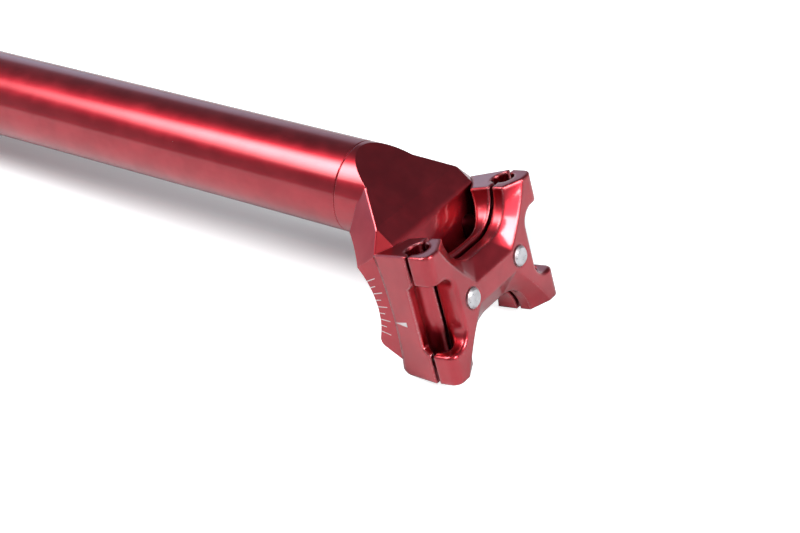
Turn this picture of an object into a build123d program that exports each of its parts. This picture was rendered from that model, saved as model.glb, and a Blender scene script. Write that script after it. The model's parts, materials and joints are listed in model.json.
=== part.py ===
"""Bicycle seatpost: a round post, a set-back head with a curved cradle, and a
two-bolt rail clamp that tilts on the cradle. Millimetres, +Z up the post,
+X towards the rear of the bicycle, +Y to the rider's right. The origin is the
centre of the post's bottom end."""
import math
import os

from build123d import *

# Post: the whole length runs from the bottom end to the middle of the rails.
post_length = 350.0
post_diameter = 27.2
tube_wall = 2.2
tube_end_chamfer = 0.6
seam_chamfer = 0.25

# Where the clamp sits over the post, at the tilt that the photograph shows.
setback = 19.5
rail_height = 38.0
clamp_tilt = 10.4

# Saddle rails and the two bolts beside each other.
rail_diameter = 7.0
rail_spacing = 44.0
bolt_diameter = 6.0
bolt_spacing = 24.9
bolt_stick_out = 0.9
bolt_end_chamfer = 0.6
bolt_head_diameter = 10.0
bolt_head_height = 4.0
bolt_socket_width = 5.0
bolt_socket_depth = 2.4
bolt_head_chamfer = 0.5

# Cradle: a shallow drum with bevelled shoulders, turned about the tilt axis.
cradle_depth = 8.0
cradle_radius = 94.0
cradle_half_width = 20.2
shoulder_half_width = 25.1
shoulder_drop = 3.9
cradle_thickness = 6.2
pocket_depth = 10.0
slot_end_round = 3.2
tilt_forward = 5.3
tilt_rearward = 5.0

# Head: front face, flared sides, wings and the arch under them.
front_face_start = 1.65
front_face_slope = 33.7
flare_start_height = 9.9
face_corner_height = 19.6
face_step = 0.1
wing_floor_height = 8.0
arch_radius = 24.0
arch_centre_behind = 25.5
arch_centre_below = 2.4
wing_end_bottom = 32.8
wing_end_top = 37.2
wing_end_rise = 29.5
wing_end_round = 2.5
spigot_length = 35.0
spigot_bore = 15.0
spigot_bore_depth = 32.0
brow_round = 4.0
flare_edge_round = 0.8
flank_corner_setback = 0.1
flank_corner_inset = 0.35
flank_corner_drop = 5.4
facet_lead = 0.7
neck_height = 24.0

# Both clamps: their length along the rails and the walls beside the rails.
clamp_half_length = 20.0
rail_side_wall = 1.85
rail_inner_wall = 2.85
notch_overrun = 0.1

# Lower clamp: a block with drafted sides.
lower_front_rake = 1.7
lower_rear_overhang = 0.1
lower_rear_rake = 0.3
lower_flank_step = 0.2
lower_rear_round = 3.0
hollow_rise = 6.0
lower_notch_step = 0.2
lower_notch_reach = 9.8
lip_drop = 2.1
lip_overrun = 0.1
lip_end_run = 1.7
lower_edge_round = 0.3
lower_corner_round = 0.45

# Upper clamp: an X-shaped plate with rail hooks at its four corners.
split_gap = 1.1
split_below_rail = 0.8
upper_side_step = 0.1
upper_height = 7.0
hook_round = 2.8
notch_band_top = 3.8
notch_reach = 8.7
strip_half_width = 3.2
strip_half_length = 9.5
rim_middle_reach = 12.0
rim_middle_width = 17.0
notch_end_width = 22.2
notch_mouth_width = 25.9
window_half_length = 10.9
window_wall_step = 0.15
window_round = 5.0
window_edge_round = 0.9
upper_edge_round = 0.4
upper_floor_round = 0.3

# Washers under the cradle.
saddle_washer_thickness = 2.0
saddle_washer_width = 12.0
saddle_washer_length = 13.0
saddle_washer_round = 2.0
flat_washer_thickness = 1.0
flat_washer_diameter = 12.0

# Clearances and cutting margins.
bond_clearance = 0.05
cradle_clearance = 0.08
rail_clearance = 0.05
thread_clearance = 0.05
seat_clearance = 0.05
bolt_hole_clearance = 0.3
washer_hole_clearance = 0.3
pocket_clearance = 0.3
margin = 6.0

tube_radius = post_diameter / 2
tube_bore_radius = tube_radius - tube_wall
tube_length = post_length - rail_height
bolt_radius = bolt_diameter / 2
bolt_y = bolt_spacing / 2
rail_y = rail_spacing / 2
rail_bore_radius = rail_diameter / 2 + rail_clearance
upper_half_length = clamp_half_length
lower_front_top = clamp_half_length
lower_front_bottom = lower_front_top - lower_front_rake
lower_rear_top = clamp_half_length + lower_rear_overhang
lower_rear_bottom = lower_rear_top - lower_rear_rake
lower_half_width_top = rail_y + rail_bore_radius + rail_side_wall
lower_half_width_bottom = shoulder_half_width - lower_flank_step
upper_half_width = lower_half_width_top - upper_side_step
notch_half_width = rail_y - rail_bore_radius - rail_inner_wall
lower_notch_half_width = notch_half_width - lower_notch_step
notch_round = clamp_half_length + notch_overrun - notch_reach
lower_notch_round = lower_rear_top + notch_overrun - lower_notch_reach
window_inner_edge = rail_y - rail_bore_radius + window_wall_step
lip_half_length = window_half_length + lip_overrun
face_half_width = cradle_half_width - face_step
split_floor = -split_below_rail
split_roof = split_gap - split_below_rail

# The clamp's own frame: x along the rails, y to the right, z up the bolts.
tilt = math.radians(clamp_tilt)
clamp_centre = Vector(setback, 0, post_length)
clamp_plane = Plane(
    origin=clamp_centre,
    x_dir=(math.cos(tilt), 0, math.sin(tilt)),
    z_dir=(-math.sin(tilt), 0, math.cos(tilt)),
)
rail_section_plane = Plane(origin=clamp_centre, x_dir=(0, 1, 0), z_dir=clamp_plane.x_dir)
rail_side_plane = Plane(origin=clamp_centre, x_dir=clamp_plane.x_dir, z_dir=(0, -1, 0))
pivot_depth = cradle_depth + cradle_radius
shoulder_radius = cradle_radius - shoulder_drop
lower_block_depth = pivot_depth - math.sqrt(shoulder_radius**2 - lower_rear_bottom**2)
pivot = clamp_plane.from_local_coords(Vector(0, 0, -pivot_depth))
tilt_axis = Axis(pivot, (0, 1, 0))
clamp_up = Axis(clamp_centre, clamp_plane.z_dir)
clamp_along = Axis(clamp_centre, clamp_plane.x_dir)


def swing_plane(forward):
    """Cross-section plane through the tilt axis, swung forward by some degrees.
    Its x runs to the right and its y straight out from the tilt axis."""
    lean = math.radians(clamp_tilt + forward)
    return Plane(
        origin=pivot,
        x_dir=(0, 1, 0),
        z_dir=(math.cos(lean), 0, math.sin(lean)),
    )


def seat_radius(y):
    """Distance from the tilt axis to the cradle's surface at the width y."""
    past_crown = max(0.0, abs(y) - cradle_half_width)
    slope = shoulder_drop / (shoulder_half_width - cradle_half_width)
    return cradle_radius - past_crown * slope


def cradle_surround(offset):
    """Section of all that lies outside the cradle's surface, to be revolved."""
    reach = shoulder_half_width + margin
    limit = cradle_radius + 8 * margin
    with BuildSketch(swing_plane(0)) as section:
        with BuildLine():
            Polyline(
                (-reach, limit),
                (-reach, seat_radius(reach) + offset),
                (-cradle_half_width, cradle_radius + offset),
                (cradle_half_width, cradle_radius + offset),
                (reach, seat_radius(reach) + offset),
                (reach, limit),
                close=True,
            )
        make_face()
    return section.sketch


def cradle_core(offset):
    """Section of all that lies inside the cradle's surface, to be revolved."""
    reach = shoulder_half_width + margin
    floor = cradle_radius - 4 * margin
    with BuildSketch(swing_plane(0)) as section:
        with BuildLine():
            Polyline(
                (-reach, floor),
                (-reach, seat_radius(reach) + offset),
                (-cradle_half_width, cradle_radius + offset),
                (cradle_half_width, cradle_radius + offset),
                (reach, seat_radius(reach) + offset),
                (reach, floor),
                close=True,
            )
        make_face()
    return section.sketch


def hollow_section():
    """Section of the domed hollow under the lower clamp, to be revolved."""
    with BuildSketch(swing_plane(0)) as section:
        with BuildLine():
            ThreePointArc(
                (-cradle_half_width, cradle_radius),
                (0, cradle_radius + hollow_rise),
                (cradle_half_width, cradle_radius),
            )
            Line((cradle_half_width, cradle_radius), (-cradle_half_width, cradle_radius))
        make_face()
    return section.sketch


def slot_section(side, half_width, inner_radius, outer_radius, forward):
    """Section of a slot beside the middle, at one swing angle, to be revolved."""
    with BuildSketch(swing_plane(forward)) as section:
        with Locations((side * bolt_y, (inner_radius + outer_radius) / 2)):
            Rectangle(2 * half_width, outer_radius - inner_radius)
    return section.sketch


def swing_for(length, radius):
    """Swing angle in degrees that moves a point at this radius by this length."""
    return math.degrees(length / radius)


os.makedirs("parts", exist_ok=True)

# Post tube
with BuildPart() as post_tube:
    with BuildSketch():
        Circle(tube_radius)
        Circle(tube_bore_radius, mode=Mode.SUBTRACT)
    extrude(amount=tube_length)
    inner_edge = post_tube.edges().group_by(Axis.Z)[0].sort_by(SortBy.RADIUS)[0]
    chamfer(inner_edge, length=tube_end_chamfer)
    top_edge = post_tube.edges().group_by(Axis.Z)[-1].sort_by(SortBy.RADIUS)[-1]
    chamfer(top_edge, length=seam_chamfer)
post_tube.part.label = "post_tube"
export_step(post_tube.part, "parts/post_tube.step")

# Head: corner points on its left side; the right side mirrors them.
face_run = math.tan(math.radians(front_face_slope))


def face_x(height):
    """X of the front face at a height above the seam."""
    return -tube_radius + (height - front_face_start) * face_run


def head_point(x, y, height):
    return Vector(x, y, tube_length + height)


def outward_plane(a, b, c):
    """Plane through three points of the head, facing away from the post."""
    normal = (b - a).cross(c - a).normalized()
    if (a - head_point(0, 0, wing_floor_height)).dot(normal) < 0:
        normal = -normal
    return Plane(origin=a, z_dir=normal)


def face_corner(side):
    return head_point(face_x(face_corner_height), side * face_half_width, face_corner_height)


def flank_corner(side):
    return clamp_plane.from_local_coords(
        Vector(
            -lower_front_bottom + flank_corner_setback,
            side * (shoulder_half_width - flank_corner_inset),
            -cradle_depth - flank_corner_drop,
        )
    )


def face_top_corner(side):
    reach = lower_front_bottom + facet_lead
    depth = pivot_depth - math.sqrt(cradle_radius**2 - reach**2)
    return clamp_plane.from_local_coords(Vector(-reach, side * face_half_width, -depth))


def flare_plane(side):
    x = face_x(flare_start_height)
    start = head_point(x, side * math.sqrt(tube_radius**2 - x**2), flare_start_height)
    return outward_plane(start, face_corner(side), flank_corner(side))


def facet_plane(side):
    return outward_plane(face_corner(side), face_top_corner(side), flank_corner(side))


def nearest_edge(body, point):
    return body.edges().sort_by_distance(point)[0]


def clamp_edge(body, x, y, z):
    """The edge that passes closest to a point given in the clamp's own frame."""
    return nearest_edge(body, clamp_plane.from_local_coords(Vector(x, y, z)))


def cradle_point(forward, y):
    """Point halfway through the cradle's thickness, at a swing angle and width."""
    radius = cradle_radius - cradle_thickness / 2
    return swing_plane(forward).from_local_coords(Vector(y, radius, 0))


slope = math.radians(front_face_slope)
face_plane = Plane(
    origin=head_point(-tube_radius, 0, front_face_start),
    z_dir=(-math.cos(slope), 0, math.sin(slope)),
)
brow_plane = outward_plane(face_corner(-1), face_corner(1), face_top_corner(0))
under_radius = cradle_radius - cradle_thickness
pocket_floor = under_radius - pocket_depth
pocket_half_width = saddle_washer_width / 2 + pocket_clearance
washer_swing = swing_for(saddle_washer_length / 2 + pocket_clearance, under_radius)
pocket_front = tilt_forward + washer_swing
pocket_rear = -tilt_rearward - washer_swing
slot_half_width = bolt_radius + bolt_hole_clearance
bolt_swing = swing_for(bolt_radius + pocket_clearance, under_radius)
slot_front = tilt_forward + bolt_swing
slot_rear = -tilt_rearward - bolt_swing
arch_x = arch_centre_behind
arch_z = tube_length - arch_centre_below


def arch_height(x):
    return arch_z + math.sqrt(arch_radius**2 - (x - arch_x) ** 2)


arch_start_x = arch_x - math.sqrt(
    arch_radius**2 - (wing_floor_height + arch_centre_below) ** 2
)
head_top = post_length + margin
wing_end_height = tube_length + wing_end_rise

with BuildPart() as head:
    with BuildSketch(Plane.XZ):
        with BuildLine():
            Polyline(
                (arch_start_x, tube_length + wing_floor_height),
                (face_x(wing_floor_height) - margin, tube_length + wing_floor_height),
                (face_x(wing_floor_height) - margin, head_top),
                (wing_end_top, head_top),
                (wing_end_top, wing_end_height),
                (wing_end_bottom, arch_height(wing_end_bottom)),
            )
            ThreePointArc(
                (wing_end_bottom, arch_height(wing_end_bottom)),
                (arch_x, arch_height(arch_x)),
                (arch_start_x, tube_length + wing_floor_height),
            )
        make_face()
    extrude(amount=shoulder_half_width, both=True)
    wing_tip = head.edges().filter_by(Axis.Y).sort_by_distance(
        (wing_end_bottom, 0, arch_height(wing_end_bottom))
    )[0]
    fillet(wing_tip, radius=wing_end_round)
    for side in (-1, 1):
        for cut_plane in (flare_plane(side), facet_plane(side)):
            split(bisect_by=cut_plane, keep=Keep.BOTTOM)
    with BuildSketch(Plane.XY.offset(tube_length)):
        Circle(tube_radius)
    extrude(amount=neck_height)
    split(bisect_by=face_plane, keep=Keep.BOTTOM)
    split(bisect_by=brow_plane, keep=Keep.BOTTOM)
    revolve(cradle_surround(0), axis=tilt_axis, mode=Mode.SUBTRACT)
    fillet(nearest_edge(head, face_top_corner(0)), radius=brow_round)
    flare_edges = []
    for side in (-1, 1):
        corner = face_corner(side)
        low_end = head_point(face_x(flare_start_height), side * tube_radius, flare_start_height)
        flare_edges.append(nearest_edge(head, (corner + low_end) / 2))
        flare_edges.append(nearest_edge(head, (corner + flank_corner(side)) / 2))
    fillet(flare_edges, radius=flare_edge_round)
    for side in (-1, 1):
        revolve(
            slot_section(side, pocket_half_width, pocket_floor, under_radius, pocket_front),
            axis=tilt_axis,
            revolution_arc=pocket_front - pocket_rear,
            mode=Mode.SUBTRACT,
        )
        revolve(
            slot_section(side, slot_half_width, pocket_floor, cradle_radius + margin, slot_front),
            axis=tilt_axis,
            revolution_arc=slot_front - slot_rear,
            mode=Mode.SUBTRACT,
        )
        slot_corners = []
        for swing in (slot_front, slot_rear):
            for slot_side in (-1, 1):
                corner_y = side * bolt_y + slot_side * slot_half_width
                slot_corners.append(nearest_edge(head, cradle_point(swing, corner_y)))
        fillet(slot_corners, radius=slot_end_round)
    collar_edge = head.edges().group_by(Axis.Z)[0]
    chamfer(collar_edge, length=seam_chamfer)
    with BuildSketch(Plane.XY.offset(tube_length)):
        Circle(tube_bore_radius - bond_clearance)
    extrude(amount=-spigot_length)
    with BuildSketch(Plane.XY.offset(tube_length - spigot_length)):
        Circle(spigot_bore / 2)
    extrude(amount=spigot_bore_depth, mode=Mode.SUBTRACT)
head.part.label = "head"
export_step(head.part, "parts/head.step")


def notch_outline(level, end, half_width, reach, corner):
    """Rounded notch outline in the clamp's frame, open past one end of the rails."""
    mouth = upper_half_length + margin
    with BuildSketch(clamp_plane.offset(level)) as outline:
        with BuildLine():
            Line((end * mouth, -half_width), (end * (reach + corner), -half_width))
            RadiusArc(
                (end * (reach + corner), -half_width),
                (end * reach, -half_width + corner),
                end * corner,
            )
            Line((end * reach, -half_width + corner), (end * reach, half_width - corner))
            RadiusArc(
                (end * reach, half_width - corner),
                (end * (reach + corner), half_width),
                end * corner,
            )
            Line((end * (reach + corner), half_width), (end * mouth, half_width))
            Line((end * mouth, half_width), (end * mouth, -half_width))
        make_face()
    return outline.sketch


def notch_rim(level, end):
    """Flared outline of the same notch in the plate's top face, with as many edges."""
    mouth = upper_half_length + margin
    arc_end = notch_reach + notch_round
    with BuildSketch(clamp_plane.offset(level)) as outline:
        with BuildLine():
            Line((end * mouth, -notch_mouth_width), (end * arc_end, -notch_end_width))
            ThreePointArc(
                (end * arc_end, -notch_end_width),
                (end * rim_middle_reach, -rim_middle_width),
                (end * strip_half_width, -strip_half_length),
            )
            Line(
                (end * strip_half_width, -strip_half_length),
                (end * strip_half_width, strip_half_length),
            )
            ThreePointArc(
                (end * strip_half_width, strip_half_length),
                (end * rim_middle_reach, rim_middle_width),
                (end * arc_end, notch_end_width),
            )
            Line((end * arc_end, notch_end_width), (end * mouth, notch_mouth_width))
            Line((end * mouth, notch_mouth_width), (end * mouth, -notch_mouth_width))
        make_face()
    return outline.sketch


# Lower clamp
lower_middle_top = (lower_rear_top - lower_front_top) / 2
lower_middle_bottom = (lower_rear_bottom - lower_front_bottom) / 2
with BuildPart() as lower_clamp:
    with BuildSketch(clamp_plane.offset(-lower_block_depth)):
        with Locations((lower_middle_bottom, 0)):
            Rectangle(lower_front_bottom + lower_rear_bottom, 2 * lower_half_width_bottom)
    with BuildSketch(clamp_plane.offset(split_floor)):
        with Locations((lower_middle_top, 0)):
            Rectangle(lower_front_top + lower_rear_top, 2 * lower_half_width_top)
    loft()
    rear_bottom = clamp_plane.from_local_coords(Vector(lower_rear_bottom, 0, -lower_block_depth))
    fillet(nearest_edge(lower_clamp, rear_bottom), radius=lower_rear_round)
    revolve(cradle_core(cradle_clearance), axis=tilt_axis, mode=Mode.SUBTRACT)
    revolve(hollow_section(), axis=tilt_axis, mode=Mode.SUBTRACT)
    for end in (-1, 1):
        extrude(
            notch_outline(
                split_floor, end, lower_notch_half_width, lower_notch_reach, lower_notch_round
            ),
            amount=-lower_block_depth,
            mode=Mode.SUBTRACT,
        )
    upright_edges = []
    for side in (-1, 1):
        for reach, half_width in (
            (-lower_front_top, lower_half_width_top),
            (lower_rear_top, lower_half_width_top),
            (-lower_front_top, lower_notch_half_width),
            (lower_rear_top, lower_notch_half_width),
        ):
            upright_edges.append(
                clamp_edge(lower_clamp, reach, side * half_width, -lower_block_depth / 3)
            )
    fillet(upright_edges, radius=lower_corner_round)
    top_edges = lower_clamp.edges().filter_by_position(
        clamp_up, split_floor - bond_clearance, split_floor + bond_clearance
    )
    fillet(top_edges, radius=lower_edge_round)
    with BuildSketch(rail_side_plane):
        with BuildLine():
            Polyline(
                (-lip_half_length, split_floor),
                (-lip_half_length + lip_end_run, split_floor - lip_drop),
                (lip_half_length - lip_end_run, split_floor - lip_drop),
                (lip_half_length, split_floor),
                close=True,
            )
        make_face()
    lip_cut = extrude(amount=rail_y, both=True, mode=Mode.PRIVATE)
    for side in (-1, 1):
        add(lip_cut.moved(Location((0, side * 2 * rail_y, 0))), mode=Mode.SUBTRACT)
    with BuildSketch(rail_section_plane):
        with Locations((-rail_y, 0), (rail_y, 0)):
            Circle(rail_bore_radius)
    extrude(amount=upper_half_length + margin, both=True, mode=Mode.SUBTRACT)
    with BuildSketch(clamp_plane):
        with Locations((0, -bolt_y), (0, bolt_y)):
            Circle(bolt_radius + bolt_hole_clearance)
    extrude(amount=-lower_block_depth, mode=Mode.SUBTRACT)
lower_clamp.part.label = "lower_clamp"
export_step(lower_clamp.part, "parts/lower_clamp.step")

# Upper clamp
window_depth = upper_half_width + margin - window_inner_edge
with BuildPart() as upper_clamp:
    with BuildSketch(rail_section_plane):
        with BuildLine():
            Polyline(
                (-upper_half_width, split_roof),
                (-upper_half_width, upper_height),
                (upper_half_width, upper_height),
                (upper_half_width, split_roof),
                close=True,
            )
        make_face()
    extrude(amount=upper_half_length, both=True)
    shoulders = upper_clamp.faces().sort_by(Axis(clamp_centre, clamp_plane.z_dir))[-1]
    shoulders = shoulders.edges().filter_by(Axis(clamp_centre, clamp_plane.x_dir))
    fillet(shoulders, radius=hook_round)
    for end in (-1, 1):
        loft(
            [
                notch_outline(notch_band_top, end, notch_half_width, notch_reach, notch_round),
                notch_rim(upper_height, end),
            ],
            ruled=True,
            mode=Mode.SUBTRACT,
        )
        extrude(
            notch_outline(notch_band_top, end, notch_half_width, notch_reach, notch_round),
            amount=-notch_band_top,
            mode=Mode.SUBTRACT,
        )
    for side in (-1, 1):
        with BuildSketch(clamp_plane):
            with Locations((0, side * (window_inner_edge + window_depth / 2))):
                RectangleRounded(2 * window_half_length, window_depth, window_round)
        extrude(amount=upper_height, mode=Mode.SUBTRACT)
    window_edges = []
    for side in (-1, 1):
        window_edges.append(clamp_edge(upper_clamp, 0, side * window_inner_edge, upper_height))
        for end in (-1, 1):
            x = end * window_half_length
            corner_x = end * (window_half_length - window_round * (1 - math.sqrt(0.5)))
            corner_y = side * (window_inner_edge + window_round * (1 - math.sqrt(0.5)))
            shoulder_y = side * (upper_half_width - hook_round * (1 - math.sqrt(0.5)))
            shoulder_z = upper_height - hook_round * (1 - math.sqrt(0.5))
            top_y = side * (window_inner_edge + window_round + upper_half_width - hook_round) / 2
            window_edges.append(clamp_edge(upper_clamp, corner_x, corner_y, upper_height))
            window_edges.append(clamp_edge(upper_clamp, x, top_y, upper_height))
            window_edges.append(clamp_edge(upper_clamp, x, shoulder_y, shoulder_z))
    fillet(window_edges, radius=window_edge_round)
    for end in (-1, 1):
        end_edges = upper_clamp.edges().filter_by_position(
            clamp_along,
            end * upper_half_length - bond_clearance,
            end * upper_half_length + bond_clearance,
        )
        fillet(end_edges, radius=upper_edge_round)
    floor_edges = upper_clamp.edges().filter_by_position(
        clamp_up, split_roof - bond_clearance, split_roof + bond_clearance
    )
    fillet(floor_edges, radius=upper_floor_round)
    with BuildSketch(rail_section_plane):
        with Locations((-rail_y, 0), (rail_y, 0)):
            Circle(rail_bore_radius)
    extrude(amount=upper_half_length + margin, both=True, mode=Mode.SUBTRACT)
    with BuildSketch(clamp_plane):
        with Locations((0, -bolt_y), (0, bolt_y)):
            Circle(bolt_radius + thread_clearance)
    extrude(amount=upper_height, mode=Mode.SUBTRACT)
upper_clamp.part.label = "upper_clamp"
export_step(upper_clamp.part, "parts/upper_clamp.step")

# Bolts, their flat washers and the curved washers that slide under the cradle
seat_depth = pivot_depth - under_radius
saddle_bottom = seat_depth + saddle_washer_thickness
flat_bottom = saddle_bottom + flat_washer_thickness
bolt_seat = flat_bottom + seat_clearance
bolt_tip = upper_height + bolt_stick_out
for side, name in ((-1, "left"), (1, "right")):
    with BuildPart() as saddle_washer:
        with BuildSketch(clamp_plane.offset(-saddle_bottom)):
            with Locations((0, side * bolt_y)):
                RectangleRounded(saddle_washer_length, saddle_washer_width, saddle_washer_round)
                Circle(bolt_radius + washer_hole_clearance, mode=Mode.SUBTRACT)
        extrude(amount=saddle_washer_thickness)
        revolve(
            slot_section(
                side, saddle_washer_width, under_radius - cradle_clearance, cradle_radius, 0
            ),
            axis=tilt_axis,
            mode=Mode.SUBTRACT,
        )
    saddle_washer.part.label = f"saddle_washer_{name}"
    export_step(saddle_washer.part, f"parts/saddle_washer_{name}.step")

    with BuildPart() as flat_washer:
        with BuildSketch(clamp_plane.offset(-flat_bottom)):
            with Locations((0, side * bolt_y)):
                Circle(flat_washer_diameter / 2)
                Circle(bolt_radius + washer_hole_clearance, mode=Mode.SUBTRACT)
        extrude(amount=flat_washer_thickness)
    flat_washer.part.label = f"flat_washer_{name}"
    export_step(flat_washer.part, f"parts/flat_washer_{name}.step")

    with BuildPart() as bolt:
        with BuildSketch(clamp_plane.offset(-bolt_seat)):
            with Locations((0, side * bolt_y)):
                Circle(bolt_radius)
        extrude(amount=bolt_seat + bolt_tip)
        tip = bolt.edges().sort_by(Axis(clamp_centre, clamp_plane.z_dir))[-1]
        chamfer(tip, length=bolt_end_chamfer)
        with BuildSketch(clamp_plane.offset(-bolt_seat)):
            with Locations((0, side * bolt_y)):
                Circle(bolt_head_diameter / 2)
        extrude(amount=-bolt_head_height)
        rim = bolt.edges().sort_by(Axis(clamp_centre, clamp_plane.z_dir))[0]
        chamfer(rim, length=bolt_head_chamfer)
        with BuildSketch(clamp_plane.offset(-bolt_seat - bolt_head_height)):
            with Locations((0, side * bolt_y)):
                RegularPolygon(bolt_socket_width / 2, side_count=6, major_radius=False)
        extrude(amount=bolt_socket_depth, mode=Mode.SUBTRACT)
    bolt.part.label = f"bolt_{name}"
    export_step(bolt.part, f"parts/bolt_{name}.step")
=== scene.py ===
"""Finishes a bicycle seatpost and lays it on its back on a white table.

The post, its head and the saddle clamp get a red dyed, polished aluminium finish, and the bolts
and washers get bright and satin steel. A tilt scale is printed on the head's left side, with its
pointer on the clamp. All sizes are in metres. The post stands along +Z, the rear of the bicycle
is +X and the rider's right is +Y.
"""

import json
import math

import bmesh
import bpy
from bpy.props import FloatProperty, FloatVectorProperty, IntProperty, PointerProperty
from mathutils import Matrix, Vector


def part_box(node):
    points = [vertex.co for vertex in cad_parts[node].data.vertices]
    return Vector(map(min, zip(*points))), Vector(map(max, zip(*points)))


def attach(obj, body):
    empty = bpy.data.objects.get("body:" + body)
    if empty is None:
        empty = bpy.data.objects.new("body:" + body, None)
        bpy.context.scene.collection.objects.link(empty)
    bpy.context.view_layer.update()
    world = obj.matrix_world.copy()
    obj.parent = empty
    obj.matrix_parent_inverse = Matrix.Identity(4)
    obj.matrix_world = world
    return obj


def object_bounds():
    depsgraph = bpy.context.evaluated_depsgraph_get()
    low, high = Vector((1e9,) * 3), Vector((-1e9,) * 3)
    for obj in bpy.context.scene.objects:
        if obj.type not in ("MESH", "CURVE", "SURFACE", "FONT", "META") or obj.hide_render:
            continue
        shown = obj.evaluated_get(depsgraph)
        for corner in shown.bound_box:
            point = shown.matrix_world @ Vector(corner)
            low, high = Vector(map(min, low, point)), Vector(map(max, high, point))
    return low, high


bl_info = {
    "name": "Anodised Seatpost",
    "version": (1, 0, 0),
    "blender": (4, 5, 0),
    "location": "View3D > Sidebar > Seatpost",
    "description": "Finishes a bicycle seatpost in red and steel and lays it on a white table",
    "category": "Object",
}

MM = 0.001

# Painted shade: the dark red that crevices are darkened towards.
CREVICE_SHADE_COLOR = (0.13, 0.004, 0.014)
DUST_COLOR = (0.85, 0.75, 0.75)
STAIN_COLOR = (0.30, 0.29, 0.31)
THIN_INK_COLOR = (0.72, 0.50, 0.50)

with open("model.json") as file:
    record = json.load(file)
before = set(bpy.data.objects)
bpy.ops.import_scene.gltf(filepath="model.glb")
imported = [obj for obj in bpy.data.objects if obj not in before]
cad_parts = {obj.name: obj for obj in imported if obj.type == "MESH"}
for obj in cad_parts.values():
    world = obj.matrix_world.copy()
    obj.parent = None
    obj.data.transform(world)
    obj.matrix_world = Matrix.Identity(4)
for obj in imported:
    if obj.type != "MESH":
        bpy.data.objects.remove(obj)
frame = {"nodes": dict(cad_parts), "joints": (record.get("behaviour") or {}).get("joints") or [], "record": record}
cad_low, cad_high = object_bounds()

tube_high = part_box("post_tube")[1]
head_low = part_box("head")[0]
rail_left = next(m for m in frame["record"]["mounts"] if m["name"] == "rail_left")
bolt_turn = next(j for j in frame["joints"] if j["name"] == "bolt_left_turn")

seam_height = tube_high.z
tube_radius = tube_high.x
clamp_along = Vector(rail_left["axis"]).normalized()
clamp_up = Vector(bolt_turn["axis"]).normalized()
clamp_centre = Vector((rail_left["pos_m"][0], 0, rail_left["pos_m"][2]))
bolt_offset = abs(bolt_turn["pos_m"][1])


def table_slope():
    """The angle from the post's back to the table, which the foot and the clamp's rear touch."""
    rise = 0.0
    for name in ("head", "lower_clamp", "upper_clamp"):
        for vertex in frame["nodes"][name].data.vertices:
            rise = max(rise, (vertex.co.x - tube_radius) / vertex.co.z)
    return math.atan(rise)


slope = table_slope()
table_foot = Vector((tube_radius, 0, 0))
table_up = Vector((-math.cos(slope), 0, math.sin(slope)))
table_right = Vector((math.sin(slope), 0, math.cos(slope)))
table_away = Vector((0, 1, 0))


def table_direction(azimuth, elevation):
    """A unit vector at an azimuth and an elevation above the table, both in radians.

    The azimuth runs clockwise from straight away from the camera's side, so the clamp lies at a
    quarter turn from there.
    """
    level = table_away * math.cos(azimuth) + table_right * math.sin(azimuth)
    return level * math.cos(elevation) + table_up * math.sin(elevation)


# Settings


class SEATPOST_PG_anodised(bpy.types.PropertyGroup):
    """The red dyed oxide on the post, head and clamp."""

    dye_color: FloatVectorProperty(
        name="Dye",
        description="Colour of the metal seen through the dyed oxide",
        subtype="COLOR", size=3, min=0, max=1, default=(0.56, 0.030, 0.046),
    )
    deep_color: FloatVectorProperty(
        name="Deep dye",
        description="Colour where the oxide took up more dye",
        subtype="COLOR", size=3, min=0, max=1, default=(0.46, 0.018, 0.032),
    )
    # Pale edge colour: partly wear that thinned the oxide, partly a painted highlight along the edges.
    wear_and_sheen_color: FloatVectorProperty(
        name="Pale edge: wear and sheen",
        description="Colour where handling has thinned the oxide along an edge",
        subtype="COLOR", size=3, min=0, max=1, default=(0.88, 0.52, 0.54),
    )
    metal_roughness: FloatProperty(
        name="Metal roughness",
        description="Roughness of the metal below the oxide",
        subtype="FACTOR", min=0, max=1, default=0.30,
    )
    oxide_roughness: FloatProperty(
        name="Oxide roughness",
        description="Roughness of the oxide's own clear surface",
        subtype="FACTOR", min=0, max=1, default=0.10,
    )
    oxide_ior: FloatProperty(
        name="Oxide index",
        description="Index of refraction of the clear oxide",
        min=1, max=2.5, default=1.62,
    )
    cloud_size: FloatProperty(
        name="Dye cloud size",
        description="Width of the faint clouds in the dye",
        unit="LENGTH", min=1 * MM, max=100 * MM, default=14 * MM,
    )
    edge_round: FloatProperty(
        name="Edge break",
        description="Radius of the small round on the post's and the head's edges",
        unit="LENGTH", min=0, max=2 * MM, default=0.35 * MM,
    )
    clamp_edge_round: FloatProperty(
        name="Clamp edge break",
        description="Radius of the tumbled round on the clamp's edges",
        unit="LENGTH", min=0, max=4 * MM, default=1.4 * MM,
    )
    # Reach of the painted shade in crevices, found by ambient occlusion.
    crevice_shade_reach: FloatProperty(
        name="Crevice shade reach",
        description="How near other metal has to be for a crevice to count as deep",
        unit="LENGTH", min=0, max=20 * MM, default=8 * MM,
    )


class SEATPOST_PG_steel(bpy.types.PropertyGroup):
    """The bolts and washers."""

    bolt_color: FloatVectorProperty(
        name="Bolt steel",
        description="Colour of the bright plated bolts",
        subtype="COLOR", size=3, min=0, max=1, default=(0.80, 0.79, 0.80),
    )
    washer_color: FloatVectorProperty(
        name="Washer steel",
        description="Colour of the satin washers",
        subtype="COLOR", size=3, min=0, max=1, default=(0.58, 0.58, 0.60),
    )
    bolt_roughness: FloatProperty(
        name="Bolt roughness",
        description="Roughness of the bolts",
        subtype="FACTOR", min=0, max=1, default=0.40,
    )
    washer_roughness: FloatProperty(
        name="Washer roughness",
        description="Roughness of the washers",
        subtype="FACTOR", min=0, max=1, default=0.40,
    )
    ring_pitch: FloatProperty(
        name="Turning pitch",
        description="Distance between the rings that the lathe left",
        unit="LENGTH", min=0.02 * MM, max=2 * MM, default=0.22 * MM,
    )


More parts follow.
